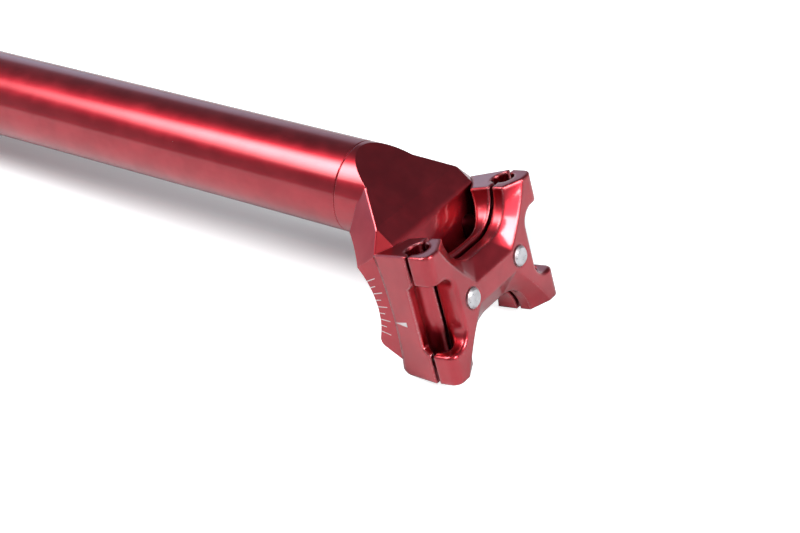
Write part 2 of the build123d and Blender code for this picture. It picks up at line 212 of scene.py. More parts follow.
class SEATPOST_PG_scale(bpy.types.PropertyGroup):
    """The tilt scale on the head and its pointer on the clamp, in the plane of the left side."""

    tick_count: IntProperty(
        name="Ticks",
        description="Number of ticks on the tilt scale",
        min=2, max=40, default=9,
    )
    first_angle: FloatProperty(
        name="First tick",
        description="Angle of the foremost tick from the post's direction",
        subtype="ANGLE", default=math.radians(-30.9),
    )
    last_angle: FloatProperty(
        name="Last tick",
        description="Angle of the rearmost tick from the post's direction",
        subtype="ANGLE", default=math.radians(7.7),
    )
    fan_rear: FloatProperty(
        name="Fan centre, rear",
        description="How far behind the post's axis the ticks' lines meet",
        unit="LENGTH", default=25.5 * MM,
    )
    fan_drop: FloatProperty(
        name="Fan centre, drop",
        description="How far below the seam the ticks' lines meet",
        unit="LENGTH", default=2.4 * MM,
    )
    fan_radius: FloatProperty(
        name="Fan radius",
        description="Distance from where the lines meet to the near end of each tick",
        unit="LENGTH", default=24.1 * MM,
    )
    long_tick: FloatProperty(
        name="Long tick",
        description="Length of the first tick and of every second one after it",
        unit="LENGTH", default=3.3 * MM,
    )
    short_tick: FloatProperty(
        name="Short tick",
        description="Length of the ticks between the long ones",
        unit="LENGTH", default=1.9 * MM,
    )
    tick_width: FloatProperty(
        name="Tick width",
        description="Width of a tick's line",
        unit="LENGTH", default=0.26 * MM,
    )
    pointer_tip: FloatProperty(
        name="Pointer tip",
        description="How far the pointer's tip lies below the rails",
        unit="LENGTH", default=11.8 * MM,
    )
    pointer_length: FloatProperty(
        name="Pointer length",
        description="Length of the pointer from tip to base",
        unit="LENGTH", default=4.8 * MM,
    )
    pointer_width: FloatProperty(
        name="Pointer width",
        description="Width of the pointer's base",
        unit="LENGTH", default=1.5 * MM,
    )
    pointer_rear: FloatProperty(
        name="Pointer, rear",
        description="How far the pointer lies behind the middle of the clamp",
        unit="LENGTH", default=2.6 * MM,
    )
    ink_thickness: FloatProperty(
        name="Ink thickness",
        description="How far the printed marks stand proud of the metal",
        unit="LENGTH", default=0.03 * MM,
    )
    ink_color: FloatVectorProperty(
        name="Ink",
        description="Colour of the printed marks",
        subtype="COLOR", size=3, min=0, max=1, default=(0.86, 0.80, 0.79),
    )


class SEATPOST_PG_stage(bpy.types.PropertyGroup):
    """The table, the lights and the camera."""

    camera_place: FloatVectorProperty(
        name="Camera place",
        description="Where the camera stands",
        subtype="TRANSLATION", unit="LENGTH", size=3, default=(-0.24331, -0.34776, 0.59204),
    )
    camera_aim: FloatVectorProperty(
        name="Camera aim",
        description="Point in the middle of the picture",
        subtype="TRANSLATION", unit="LENGTH", size=3, default=(0.03722, 0.01686, 0.30992),
    )
    camera_roll: FloatProperty(
        name="Camera roll",
        description="Turn of the camera about its line of sight, away from level with the table",
        subtype="ANGLE", default=math.radians(1.6),
    )
    camera_lens: FloatProperty(
        name="Focal length",
        description="Focal length in millimetres on a sensor 36 mm wide",
        min=10, max=300, default=78.98,
    )
    table_color: FloatVectorProperty(
        name="Table",
        description="Colour of the table",
        subtype="COLOR", size=3, min=0, max=1, default=(0.73, 0.80, 0.81),
    )
    # These settings paint the shadow's strip: less white is added near the post, more away from it.
    table_glow: FloatProperty(
        name="Table white",
        description="White added to the table, as the camera sees it, in the post's shadow",
        min=0, max=1, default=0.13,
    )
    far_glow: FloatProperty(
        name="Far table white",
        description="White added to the table, as the camera sees it, away from the shadow",
        min=0, max=1, default=0.85,
    )
    shadow_core: FloatProperty(
        name="Shadow core",
        description="Distance from the shadow's middle within which the shadow is whole",
        unit="LENGTH", min=0, default=18 * MM,
    )
    shadow_reach: FloatProperty(
        name="Shadow reach",
        description="Distance from the shadow's middle past which the table is white",
        unit="LENGTH", min=0, default=42 * MM,
    )
    table_mirrored: FloatProperty(
        name="Table white, mirrored",
        description="White added to the table where it is seen in a reflection",
        min=0, max=1, default=0.02,
    )
    room_color: FloatVectorProperty(
        name="Dim room",
        description="Light from the dim room above the table",
        subtype="COLOR", size=3, min=0, max=1, default=(0.12, 0.11, 0.125),
    )
    horizon_color: FloatVectorProperty(
        name="Backdrop",
        description="Light from the backdrop near the table's level",
        subtype="COLOR", size=3, min=0, max=1, default=(0.38, 0.30, 0.33),
    )
    window_color: FloatVectorProperty(
        name="Window",
        description="Light from a window beyond the post, low on the left",
        subtype="COLOR", size=3, min=0, max=1, default=(0.54, 0.74, 0.92),
    )
    wall_color: FloatVectorProperty(
        name="Lit wall",
        description="Light from the lit wall above and behind the camera",
        subtype="COLOR", size=3, min=0, max=1, default=(0.85, 0.43, 0.45),
    )


# Building nodes


def add_node(tree, kind, settings=(), **inputs):
    """Adds a node to a tree, with its settings, and with values or links on its inputs."""
    node = tree.nodes.new(kind)
    for name, value in dict(settings).items():
        setattr(node, name, value)
    for name, value in inputs.items():
        plug(tree, node, name.replace("_", " "), value)
    return node


def plug(tree, node, name, value):
    """Sets an input by its name or number to a value, or links it to another node's output."""
    socket = node.inputs[name]
    if isinstance(value, bpy.types.NodeSocket):
        tree.links.new(value, socket)
    else:
        socket.default_value = value


def math_node(tree, operation, first, second=0.0, clamp=False):
    """A Math node's output."""
    node = add_node(tree, "ShaderNodeMath", {"operation": operation, "use_clamp": clamp})
    plug(tree, node, 0, first)
    plug(tree, node, 1, second)
    return node.outputs[0]


def vector_node(tree, operation, first, second=(0, 0, 0), output=0):
    """A Vector Math node's output."""
    node = add_node(tree, "ShaderNodeVectorMath", {"operation": operation})
    plug(tree, node, 0, first)
    plug(tree, node, 1, second)
    return node.outputs[output]


def mix_colors(tree, factor, first, second):
    """A colour between two colours."""
    node = add_node(tree, "ShaderNodeMix", {"data_type": "RGBA"})
    plug(tree, node, 0, factor)
    plug(tree, node, 6, first)
    plug(tree, node, 7, second)
    return node.outputs[2]


def remap(tree, value, low, high, to_low=0.0, to_high=1.0):
    """A value stretched smoothly from one range to another."""
    node = add_node(tree, "ShaderNodeMapRange", {"interpolation_type": "SMOOTHSTEP"})
    for name, number in (("Value", value), ("From Min", low), ("From Max", high)):
        plug(tree, node, name, number)
    plug(tree, node, "To Min", to_low)
    plug(tree, node, "To Max", to_high)
    return node.outputs[0]


def rgba(color):
    """A colour with full alpha."""
    return (*color, 1.0)


def new_group(name, inputs, outputs):
    """A shader node group with named sockets. Each input gives its kind and default."""
    group = bpy.data.node_groups.new(name, "ShaderNodeTree")
    for socket_name, (kind, default) in inputs.items():
        socket = group.interface.new_socket(socket_name, in_out="INPUT", socket_type=kind)
        if default is not None:
            socket.default_value = default
    for socket_name, kind in outputs.items():
        group.interface.new_socket(socket_name, in_out="OUTPUT", socket_type=kind)
    entry = group.nodes.new("NodeGroupInput")
    result = group.nodes.new("NodeGroupOutput")
    return group, entry, result


def use_group(tree, group, **inputs):
    """Places a node group in a tree, with its own values."""
    node = tree.nodes.new("ShaderNodeGroup")
    node.node_tree = group
    for name, value in inputs.items():
        plug(tree, node, name.replace("_", " "), value)
    return node


def dye_clouds_group():
    """Faint clouds and drawn streaks in the dye, as a colour. The streaks run along the post."""
    drawn_out = (1.0, 1.0, 0.012)
    streaks_per_metre = 1400.0
    cloud_starts, cloud_full = 0.35, 0.68
    group, entry, result = new_group(
        "Dye clouds",
        {
            "Vector": ("NodeSocketVector", None),
            "Dye": ("NodeSocketColor", (0.5, 0.03, 0.05, 1)),
            "Deep": ("NodeSocketColor", (0.4, 0.02, 0.03, 1)),
            "Cloud Size": ("NodeSocketFloat", 0.014),
            "Streaks": ("NodeSocketFloat", 0.0),
        },
        {"Color": "NodeSocketColor"},
    )
    per_cloud = math_node(group, "DIVIDE", 1.0, entry.outputs["Cloud Size"])
    clouds = add_node(
        group, "ShaderNodeTexNoise",
        Vector=entry.outputs["Vector"], Scale=per_cloud, Detail=3.0, Roughness=0.55,
    )
    drawn = vector_node(group, "MULTIPLY", entry.outputs["Vector"], drawn_out)
    streaks = add_node(
        group, "ShaderNodeTexNoise", Vector=drawn, Scale=streaks_per_metre, Detail=2.0,
    )
    streak_share = math_node(group, "MULTIPLY", streaks.outputs[0], entry.outputs["Streaks"])
    cloud_share = remap(group, clouds.outputs[0], cloud_starts, cloud_full)
    share = math_node(group, "ADD", cloud_share, streak_share, clamp=True)
    color = mix_colors(group, share, entry.outputs["Dye"], entry.outputs["Deep"])
    group.links.new(color, result.inputs["Color"])
    return group


def satin_grain_group():
    """The fine grain left by polishing, as a height, and smears of extra roughness, as a share."""
    smears_per_metre = 210.0
    smear_starts, smear_full = 0.38, 0.72
    group, entry, result = new_group(
        "Satin grain",
        {
            "Vector": ("NodeSocketVector", None),
            "Grain Size": ("NodeSocketFloat", 0.0002),
            "Stretch": ("NodeSocketVector", (1, 1, 1)),
        },
        {"Height": "NodeSocketFloat", "Roughness": "NodeSocketFloat"},
    )
    per_grain = math_node(group, "DIVIDE", 1.0, entry.outputs["Grain Size"])
    stretched = vector_node(group, "MULTIPLY", entry.outputs["Vector"], entry.outputs["Stretch"])
    grain = add_node(
        group, "ShaderNodeTexNoise",
        Vector=stretched, Scale=per_grain, Detail=2.0, Roughness=0.6,
    )
    smears = add_node(
        group, "ShaderNodeTexNoise",
        Vector=entry.outputs["Vector"], Scale=smears_per_metre, Detail=4.0,
    )
    smeared = remap(group, smears.outputs[0], smear_starts, smear_full)
    group.links.new(grain.outputs[0], result.inputs["Height"])
    group.links.new(smeared, result.inputs["Roughness"])
    return group


def wear_and_sheen_edge_group():
    """A mask of the edges, broken into specks, for pale colour that is partly wear and partly a painted highlight.

    An edge is where the rounded normal leaves the face's own, as the cosine between them tells.
    """
    edge_starts, edge_full = 0.98, 0.84
    specks_per_metre = 2300.0
    speck_starts, speck_full = 0.66, 0.54
    group, entry, result = new_group(
        "Edge wear and sheen",
        {
            "Vector": ("NodeSocketVector", None),
            "Round Normal": ("NodeSocketVector", None),
            "Patchiness": ("NodeSocketFloat", 0.5),
        },
        {"Mask": "NodeSocketFloat"},
    )
    geometry = group.nodes.new("ShaderNodeNewGeometry")
    rounded, flat = entry.outputs["Round Normal"], geometry.outputs["Normal"]
    agreement = vector_node(group, "DOT_PRODUCT", rounded, flat, output=1)
    edge = remap(group, agreement, edge_starts, edge_full)
    specks = add_node(
        group, "ShaderNodeTexNoise",
        Vector=entry.outputs["Vector"], Scale=specks_per_metre, Detail=2.0,
    )
    spared = remap(group, specks.outputs[0], speck_starts, speck_full)
    loss = math_node(group, "MULTIPLY", spared, entry.outputs["Patchiness"])
    kept = math_node(group, "SUBTRACT", 1.0, loss)
    group.links.new(math_node(group, "MULTIPLY", edge, kept), result.inputs["Mask"])
    return group


def dust_group():
    """Scattered specks, as a mask: one in some of the cells, each of its own size."""
    group, entry, result = new_group(
        "Dust",
        {
            "Vector": ("NodeSocketVector", None),
            "Cell Size": ("NodeSocketFloat", 0.003),
            "Speck Size": ("NodeSocketFloat", 0.05),
            "Share": ("NodeSocketFloat", 0.2),
        },
        {"Mask": "NodeSocketFloat"},
    )
    per_cell = math_node(group, "DIVIDE", 1.0, entry.outputs["Cell Size"])
    cells = add_node(group, "ShaderNodeTexVoronoi", Vector=entry.outputs["Vector"], Scale=per_cell)
    chance = add_node(group, "ShaderNodeSeparateColor", Color=cells.outputs["Color"])
    chosen = math_node(group, "LESS_THAN", chance.outputs[0], entry.outputs["Share"])
    size = math_node(group, "MULTIPLY", entry.outputs["Speck Size"], chance.outputs[1])
    near = math_node(group, "LESS_THAN", cells.outputs["Distance"], size)
    group.links.new(math_node(group, "MULTIPLY", chosen, near), result.inputs["Mask"])
    return group


def shared_group(name):
    """One of the shared node groups, built the first time that it is asked for."""
    makers = {
        "Dye clouds": dye_clouds_group,
        "Satin grain": satin_grain_group,
        "Edge wear and sheen": wear_and_sheen_edge_group,
        "Dust": dust_group,
    }
    return bpy.data.node_groups.get(name) or makers[name]()


def new_material(name):
    """A material with an empty tree, its Principled shader and its object coordinates."""
    material = bpy.data.materials.new(name)
    material.use_nodes = True
    tree = material.node_tree
    tree.nodes.clear()
    shader = tree.nodes.new("ShaderNodeBsdfPrincipled")
    output = tree.nodes.new("ShaderNodeOutputMaterial")
    tree.links.new(shader.outputs[0], output.inputs["Surface"])
    place = tree.nodes.new("ShaderNodeTexCoord").outputs["Object"]
    return material, tree, shader, place


def anodised_material(
    name, dress, edge_round, grain_size, grain_height, stretch=(1, 1, 1), streaks=0.0,
):
    """Red anodised aluminium: rough dyed metal under a clear, smoother oxide.

    Deep in a crevice both get painted shade: the colour darkens and the oxide's reflection weakens as ambient
    occlusion falls.
    """
    shade_full_below, shade_ends_above = 0.14, 0.66
    wear_and_sheen_strength = 0.8
    smear_roughness = 0.06
    least_coat_in_shade = 0.2
    material, tree, shader, place = new_material(name)
    rounded = add_node(tree, "ShaderNodeBevel", {"samples": 8}, Radius=edge_round).outputs[0]
    openness = add_node(
        tree, "ShaderNodeAmbientOcclusion", {"samples": 6, "only_local": False},
        Distance=dress.crevice_shade_reach,
    )
    # How much painted shade a point gets, from ambient occlusion.
    unshaded_share = remap(tree, openness.outputs["AO"], shade_full_below, shade_ends_above)
    clouds = use_group(
        tree, shared_group("Dye clouds"), Vector=place,
        Dye=rgba(dress.dye_color), Deep=rgba(dress.deep_color),
        Cloud_Size=dress.cloud_size, Streaks=streaks,
    )
    grain = use_group(
        tree, shared_group("Satin grain"), Vector=place, Grain_Size=grain_size, Stretch=stretch,
    )
    wear_and_sheen_edges = use_group(
        tree, shared_group("Edge wear and sheen"), Vector=place, Round_Normal=rounded, Patchiness=0.75,
    )
    dust = use_group(
        tree, shared_group("Dust"), Vector=place,
        Cell_Size=3.5 * MM, Speck_Size=0.035, Share=0.1,
    )
    # Pale edges: partly wear, partly a painted highlight along them.
    wear_and_sheen_share = math_node(tree, "MULTIPLY", wear_and_sheen_edges.outputs["Mask"], wear_and_sheen_strength)
    metal = mix_colors(tree, wear_and_sheen_share, clouds.outputs["Color"], rgba(dress.wear_and_sheen_color))
    dusted = mix_colors(tree, dust.outputs["Mask"], metal, rgba(DUST_COLOR))
    # Painted shade: the colour darkens in crevices.
    color = mix_colors(tree, unshaded_share, rgba(CREVICE_SHADE_COLOR), dusted)
    extra = math_node(tree, "MULTIPLY", grain.outputs["Roughness"], smear_roughness)
    roughness = math_node(tree, "ADD", extra, dress.metal_roughness)
    bump = add_node(
        tree, "ShaderNodeBump",
        Strength=1.0, Distance=grain_height, Height=grain.outputs["Height"], Normal=rounded,
    )
    plug(tree, shader, "Base Color", color)
    plug(tree, shader, "Roughness", roughness)
    plug(tree, shader, "Normal", bump.outputs[0])
    plug(tree, shader, "Coat Normal", rounded)
    plug(tree, shader, "Metallic", 1.0)
    # Painted shade: the oxide's reflection weakens in crevices.
    plug(tree, shader, "Coat Weight", math_node(tree, "MAXIMUM", unshaded_share, least_coat_in_shade))
    plug(tree, shader, "Coat Roughness", dress.oxide_roughness)
    plug(tree, shader, "Coat IOR", dress.oxide_ior)
    return material


def steel_material(name, color, roughness, ring_pitch, grain_height):
    """Turned steel, with rings about the bolts' axes, which mirror each other left and right."""
    ring_share = 0.25
    dull_share = 0.72
    stain_strength = 0.75
    smear_roughness = 0.14
    material, tree, shader, place = new_material(name)
    folded = vector_node(tree, "ABSOLUTE", place)
    axis_point = (clamp_centre.x, bolt_offset, clamp_centre.z)
    offset = vector_node(tree, "SUBTRACT", folded, axis_point)
    across = vector_node(tree, "CROSS_PRODUCT", offset, tuple(clamp_up))
    radius = vector_node(tree, "LENGTH", across, output=1)
    rings = math_node(tree, "SINE", math_node(tree, "MULTIPLY", radius, math.tau / ring_pitch))
    grain = use_group(tree, shared_group("Satin grain"), Vector=place, Grain_Size=0.35 * MM)
    dust = use_group(
        tree, shared_group("Dust"), Vector=place,
        Cell_Size=0.5 * MM, Speck_Size=0.45, Share=0.45,
    )
    ring_height = math_node(tree, "MULTIPLY", rings, ring_share)
    height = math_node(tree, "ADD", ring_height, grain.outputs["Height"])
    rounded = add_node(tree, "ShaderNodeBevel", {"samples": 6}, Radius=0.15 * MM).outputs[0]
    bump = add_node(
        tree, "ShaderNodeBump", Strength=1.0, Distance=grain_height, Height=height, Normal=rounded,
    )
    dull = tuple(channel * dull_share for channel in color)
    stain = math_node(tree, "MULTIPLY", dust.outputs["Mask"], stain_strength)
    clouded = mix_colors(tree, grain.outputs["Roughness"], rgba(color), rgba(dull))
    plug(tree, shader, "Base Color", mix_colors(tree, stain, clouded, rgba(STAIN_COLOR)))
    extra = math_node(tree, "MULTIPLY", grain.outputs["Roughness"], smear_roughness)
    plug(tree, shader, "Roughness", math_node(tree, "ADD", extra, roughness))
    plug(tree, shader, "Normal", bump.outputs[0])
    plug(tree, shader, "Metallic", 1.0)
    return material


def ink_material(color):
    """Pale printed ink, a little thin and rough in places."""
    most_thin = 0.35
    least_roughness = 0.35
    material, tree, shader, place = new_material("Pale ink")
    grain = use_group(tree, shared_group("Satin grain"), Vector=place, Grain_Size=0.12 * MM)
    thinness = math_node(tree, "MULTIPLY", grain.outputs["Roughness"], most_thin)
    plug(tree, shader, "Base Color", mix_colors(tree, thinness, rgba(color), rgba(THIN_INK_COLOR)))
    bump = add_node(
        tree, "ShaderNodeBump",
        Strength=0.4, Distance=0.01 * MM, Height=grain.outputs["Height"],
    )
    plug(tree, shader, "Normal", bump.outputs[0])
    plug(tree, shader, "Roughness", math_node(tree, "ADD", thinness, least_roughness))
    return material


def coat_node(name, material):
    """Gives a carried-over solid its finish."""
    slots = frame["nodes"][name].data.materials
    if not slots:
        raise RuntimeError(f"{name} has no material slot")
    for index in range(len(slots)):
        slots[index] = material


# Printed marks


def left_face(node, rear, height):
    """The point that a level line from the left meets on a solid, at this place and height."""
    start = Vector((rear, -1.0, height))
    hit, place, *_ = frame["nodes"][node].ray_cast(start, Vector((0, 1, 0)))
    if not hit:
        raise RuntimeError(f"nothing of {node} lies under its printed mark")
    return place


def print_mark(mesh, corners, thickness):
    """Adds one flat mark with these corners, proud of the metal and sunk in by half as much."""
    outward = Vector((0, -thickness, 0))
    sunk = [mesh.verts.new(corner - outward / 2) for corner in corners]
    proud = [mesh.verts.new(corner + outward) for corner in corners]
    mesh.faces.new(sunk)
    mesh.faces.new(reversed(proud))
    for index, vertex in enumerate(sunk):
        following = (index + 1) % len(sunk)
        mesh.faces.new((vertex, proud[index], proud[following], sunk[following]))


def finish_print(mesh, name, body, material):
    """Turns the printed marks into a piece that rides on a body."""
    bmesh.ops.recalc_face_normals(mesh, faces=mesh.faces)
    data = bpy.data.meshes.new(name)
    mesh.to_mesh(data)
    mesh.free()
    data.materials.append(material)
    piece = bpy.data.objects.new(name, data)
    bpy.context.scene.collection.objects.link(piece)
    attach(piece, body)


class SEATPOST_OT_tube(bpy.types.Operator):
    """Finish the post: polished along its length and dyed red"""

    bl_idname = "seatpost.tube"
    bl_label = "Finish the Post"

    def execute(self, context):
        """Coats the tube."""
        dress = context.scene.seatpost_anodised
        material = anodised_material(
            "Red tube", dress, dress.edge_round, grain_size=0.16 * MM, grain_height=0.0006 * MM,
            stretch=(1.0, 1.0, 0.03), streaks=0.35,
        )
        coat_node("post_tube", material)
        return {"FINISHED"}


class SEATPOST_OT_head(bpy.types.Operator):
    """Finish the head: machined, blasted lightly and dyed red"""

    bl_idname = "seatpost.head"
    bl_label = "Finish the Head"

    def execute(self, context):
        """Coats the head."""
        dress = context.scene.seatpost_anodised
        material = anodised_material(
            "Red head", dress, dress.edge_round, grain_size=0.22 * MM, grain_height=0.0012 * MM,
        )
        coat_node("head", material)
        return {"FINISHED"}


class SEATPOST_OT_clamp(bpy.types.Operator):
    """Finish both halves of the saddle clamp in dyed red"""

    bl_idname = "seatpost.clamp"
    bl_label = "Finish the Clamp"

    def execute(self, context):
        """Coats the clamp's two halves."""
        dress = context.scene.seatpost_anodised
        material = anodised_material(
            "Red clamp", dress, dress.clamp_edge_round,
            grain_size=0.18 * MM, grain_height=0.0010 * MM,
        )
        for name in ("lower_clamp", "upper_clamp"):
            coat_node(name, material)
        return {"FINISHED"}


class SEATPOST_OT_fasteners(bpy.types.Operator):
    """Finish the bolts and their washers in steel"""

    bl_idname = "seatpost.fasteners"
    bl_label = "Finish the Fasteners"

    def execute(self, context):
        """Coats the bolts and washers."""
        steel = context.scene.seatpost_steel
        bolt = steel_material(
            "Bolt steel", steel.bolt_color, steel.bolt_roughness, steel.ring_pitch,
            grain_height=0.02 * MM,
        )
        washer = steel_material(
            "Washer steel", steel.washer_color, steel.washer_roughness, steel.ring_pitch,
            grain_height=0.006 * MM,
        )
        for side in ("left", "right"):
            coat_node(f"bolt_{side}", bolt)
            coat_node(f"saddle_washer_{side}", washer)
            coat_node(f"flat_washer_{side}", washer)
        return {"FINISHED"}


class SEATPOST_OT_scale(bpy.types.Operator):
    """Print the tilt scale on the head and its pointer on the clamp"""

    bl_idname = "seatpost.scale"
    bl_label = "Print the Tilt Scale"

    def execute(self, context):
        """Builds both printed pieces."""
        marks = context.scene.seatpost_scale
        ink = ink_material(marks.ink_color)
        self.print_ticks(marks, ink)
        self.print_pointer(marks, ink)
        return {"FINISHED"}

    def print_ticks(self, marks, ink):
        """The fan of ticks on the head's left side, which starts at the edge of the arch."""
        mesh = bmesh.new()
        fan_height = seam_height - marks.fan_drop
        step = (marks.last_angle - marks.first_angle) / (marks.tick_count - 1)
        for number in range(marks.tick_count):
            angle = marks.first_angle + number * step
            length = marks.short_tick if number % 2 else marks.long_tick
            outward = Vector((math.sin(angle), 0, math.cos(angle)))
            sideways = Vector((math.cos(angle), 0, -math.sin(angle))) * marks.tick_width / 2
            near = Vector((marks.fan_rear, head_low.y, fan_height)) + outward * marks.fan_radius
            far = near + outward * length
            corners = (near - sideways, near + sideways, far + sideways, far - sideways)
            print_mark(mesh, corners, marks.ink_thickness)
        finish_print(mesh, "tilt_scale", "post", ink)

    def print_pointer(self, marks, ink):
        """The wedge on the clamp's left side, with its tip towards the scale."""
        lean_slope = 0.05
        mesh = bmesh.new()
        lean = clamp_along * lean_slope * marks.pointer_length
        tip = clamp_centre + clamp_along * marks.pointer_rear - clamp_up * marks.pointer_tip
        base = tip + clamp_up * marks.pointer_length
        half_base = clamp_along * marks.pointer_width / 2
        corners = []
        for corner in (tip, base + half_base - lean, base - half_base - lean):
            corners.append(left_face("lower_clamp", corner.x, corner.z))
        print_mark(mesh, corners, marks.ink_thickness)
        finish_print(mesh, "tilt_pointer", "clamp", ink)


# Table, lights and camera


def distance_from_painted_shadow_strip(tree):
    """How far a point of the table lies from the middle line of a painted shadow strip beside the post.

    The line starts near the post's foot, drifts away from the camera's side as the post rises
    off the table, and stops short of the clamp.
    """
    start_away = 5.3 * MM
    drift = 0.118
    short_of_clamp = 35 * MM
    half_length = (clamp_centre.z - short_of_clamp) / 2
    spot = tree.nodes.new("ShaderNodeNewGeometry").outputs["Position"]
    away = vector_node(tree, "DOT_PRODUCT", spot, tuple(table_away), output=1)
    along = vector_node(tree, "DOT_PRODUCT", spot, tuple(table_right), output=1)
    line_away = math_node(tree, "ADD", math_node(tree, "MULTIPLY", along, drift), start_away)
    beside = math_node(tree, "SUBTRACT", away, line_away)
    from_middle = math_node(tree, "SUBTRACT", along, half_length)
    past_middle = math_node(tree, "ABSOLUTE", from_middle)
    past_end = math_node(tree, "SUBTRACT", past_middle, half_length)
    past_end = math_node(tree, "MAXIMUM", past_end, 0.0)
    beside_squared = math_node(tree, "MULTIPLY", beside, beside)
    past_squared = math_node(tree, "MULTIPLY", past_end, past_end)
    return math_node(tree, "SQRT", math_node(tree, "ADD", beside_squared, past_squared))


def table_material(stage):
    """A white table that keeps the post's shadow only along a painted strip, and can be seen through from below.
    """
    material = bpy.data.materials.new("White table")
    material.use_nodes = True
    tree = material.node_tree
    tree.nodes.clear()
    matt = add_node(tree, "ShaderNodeBsdfDiffuse", Color=rgba(stage.table_color))
    path = tree.nodes.new("ShaderNodeLightPath")
    glossy, through = path.outputs["Is Glossy Ray"], path.outputs["Is Transmission Ray"]
    mirrored = math_node(tree, "MAXIMUM", glossy, through)
    # Painted light: the white that the camera sees is low in a strip beside the post and high elsewhere, so the
    # real shadow shows only there.
    share = remap(
        tree, distance_from_painted_shadow_strip(tree), stage.shadow_core, stage.shadow_reach,
        stage.table_glow, stage.far_glow,
    )
    seen_white = math_node(tree, "MULTIPLY", path.outputs["Is Camera Ray"], share)
    mirrored_white = math_node(tree, "MULTIPLY", mirrored, stage.table_mirrored)
    white = math_node(tree, "ADD", seen_white, mirrored_white)
    glow = add_node(tree, "ShaderNodeEmission", Strength=white)
    lit = tree.nodes.new("ShaderNodeAddShader")
    tree.links.new(matt.outputs[0], lit.inputs[0])
    tree.links.new(glow.outputs[0], lit.inputs[1])
    clear = tree.nodes.new("ShaderNodeBsdfTransparent")
    geometry = tree.nodes.new("ShaderNodeNewGeometry")
    either = tree.nodes.new("ShaderNodeMixShader")
    tree.links.new(geometry.outputs["Backfacing"], either.inputs[0])
    tree.links.new(lit.outputs[0], either.inputs[1])
    tree.links.new(clear.outputs[0], either.inputs[2])
    output = tree.nodes.new("ShaderNodeOutputMaterial")
    tree.links.new(either.outputs[0], output.inputs["Surface"])
    return material


def add_table(stage):
    """The table's top, a wide flat sheet with its face up."""
    reach = 3.0
    middle = table_foot + table_right * cad_high.z / 2
    corners = [
        middle + table_right * along * reach + table_away * away * reach
        for along, away in ((-1, -1), (1, -1), (1, 1), (-1, 1))
    ]
    data = bpy.data.meshes.new("table")
    data.from_pydata(corners, [], [(0, 1, 2, 3)])
    data.update()
    if data.polygons[0].normal.dot(table_up) < 0:
        data.flip_normals()
    data.materials.append(table_material(stage))
    table = bpy.data.objects.new("table", data)
    bpy.context.scene.collection.objects.link(table)


def world_glow(tree, direction, azimuth, elevation, edge, core):
    """How near a direction is to a round glow's middle: 1 within its core and 0 past its edge.

    The azimuth, elevation, edge and core are in degrees.
    """
    middle = table_direction(math.radians(azimuth), math.radians(elevation))
    nearness = vector_node(tree, "DOT_PRODUCT", direction, tuple(middle), output=1)
    return remap(tree, nearness, math.cos(math.radians(edge)), math.cos(math.radians(core)))


def add_room(stage):
    """The world: white to the camera, and otherwise a dim room with a window and a lit wall.

    Heights are the sine of the elevation above the table.
    """
    backdrop_ends, room_starts = 0.02, 0.55
    window_top, window_gone = 0.27, 0.45
    world = bpy.data.worlds.new("Studio room")
    world.use_nodes = True
    tree = world.node_tree
    tree.nodes.clear()
    direction = tree.nodes.new("ShaderNodeTexCoord").outputs["Generated"]
    height = vector_node(tree, "DOT_PRODUCT", direction, tuple(table_up), output=1)
    room_share = remap(tree, height, backdrop_ends, room_starts)
    room = mix_colors(tree, room_share, rgba(stage.horizon_color), rgba(stage.room_color))
    window_side = world_glow(tree, direction, azimuth=-76, elevation=2, edge=52, core=28)
    window_height = remap(tree, height, window_top, window_gone, 1.0, 0.0)
    window_share = math_node(tree, "MULTIPLY", window_side, window_height)
    lit = mix_colors(tree, window_share, room, rgba(stage.window_color))
    wall_share = world_glow(tree, direction, azimuth=135, elevation=54, edge=26, core=8)
    walls = mix_colors(tree, wall_share, lit, rgba(stage.wall_color))
    path = tree.nodes.new("ShaderNodeLightPath")
    color = mix_colors(tree, path.outputs["Is Camera Ray"], walls, (1.0, 1.0, 1.0, 1.0))
    background = add_node(tree, "ShaderNodeBackground", Color=color, Strength=1.0)
    output = tree.nodes.new("ShaderNodeOutputWorld")
    tree.links.new(background.outputs[0], output.inputs["Surface"])
    bpy.context.scene.world = world


def fade_softbox(light, centre, sideways, upward, width, height, side_fade, foot_fade):
    """Fades a softbox smoothly towards one side and its foot.

    The fades are shares of its width and height.
    """
    light.use_nodes = True
    tree = light.node_tree
    emission = next(node for node in tree.nodes if node.type == "EMISSION")
    spot = tree.nodes.new("ShaderNodeNewGeometry").outputs["Position"]
    offset = vector_node(tree, "SUBTRACT", spot, tuple(centre))
    across = vector_node(tree, "DOT_PRODUCT", offset, tuple(sideways), output=1)
    above = vector_node(tree, "DOT_PRODUCT", offset, tuple(upward), output=1)
    side_share = remap(tree, across, -0.5 * width, (side_fade - 0.5) * width)
    foot_share = remap(tree, above, -0.5 * height, (foot_fade - 0.5) * height)
    plug(tree, emission, "Strength", math_node(tree, "MULTIPLY", side_share, foot_share))


def add_softbox(
    name, azimuth, elevation, distance, width, height, radiance, side_fade=0.0, foot_fade=0.0,
):
    """A rectangular softbox that faces the head's seam, placed by its direction from there.

    The azimuth and elevation are in degrees. The radiance is what its middle shows.
    """
    light = bpy.data.lights.new(name, "AREA")
    light.shape = "RECTANGLE"
    light.size = width
    light.size_y = height
    light.energy = radiance * math.pi * width * height
    softbox = bpy.data.objects.new(name, light)
    bpy.context.scene.collection.objects.link(softbox)
    outward = table_direction(math.radians(azimuth), math.radians(elevation))
    sideways = table_up.cross(outward)
    sideways.normalize()
    upward = outward.cross(sideways)
    centre = Vector((0, 0, seam_height)) + outward * distance
    turn = Matrix((sideways, upward, outward)).transposed().to_4x4()
    softbox.matrix_world = Matrix.Translation(centre) @ turn
    if side_fade:
        fade_softbox(light, centre, sideways, upward, width, height, side_fade, foot_fade)
    softbox.visible_camera = False


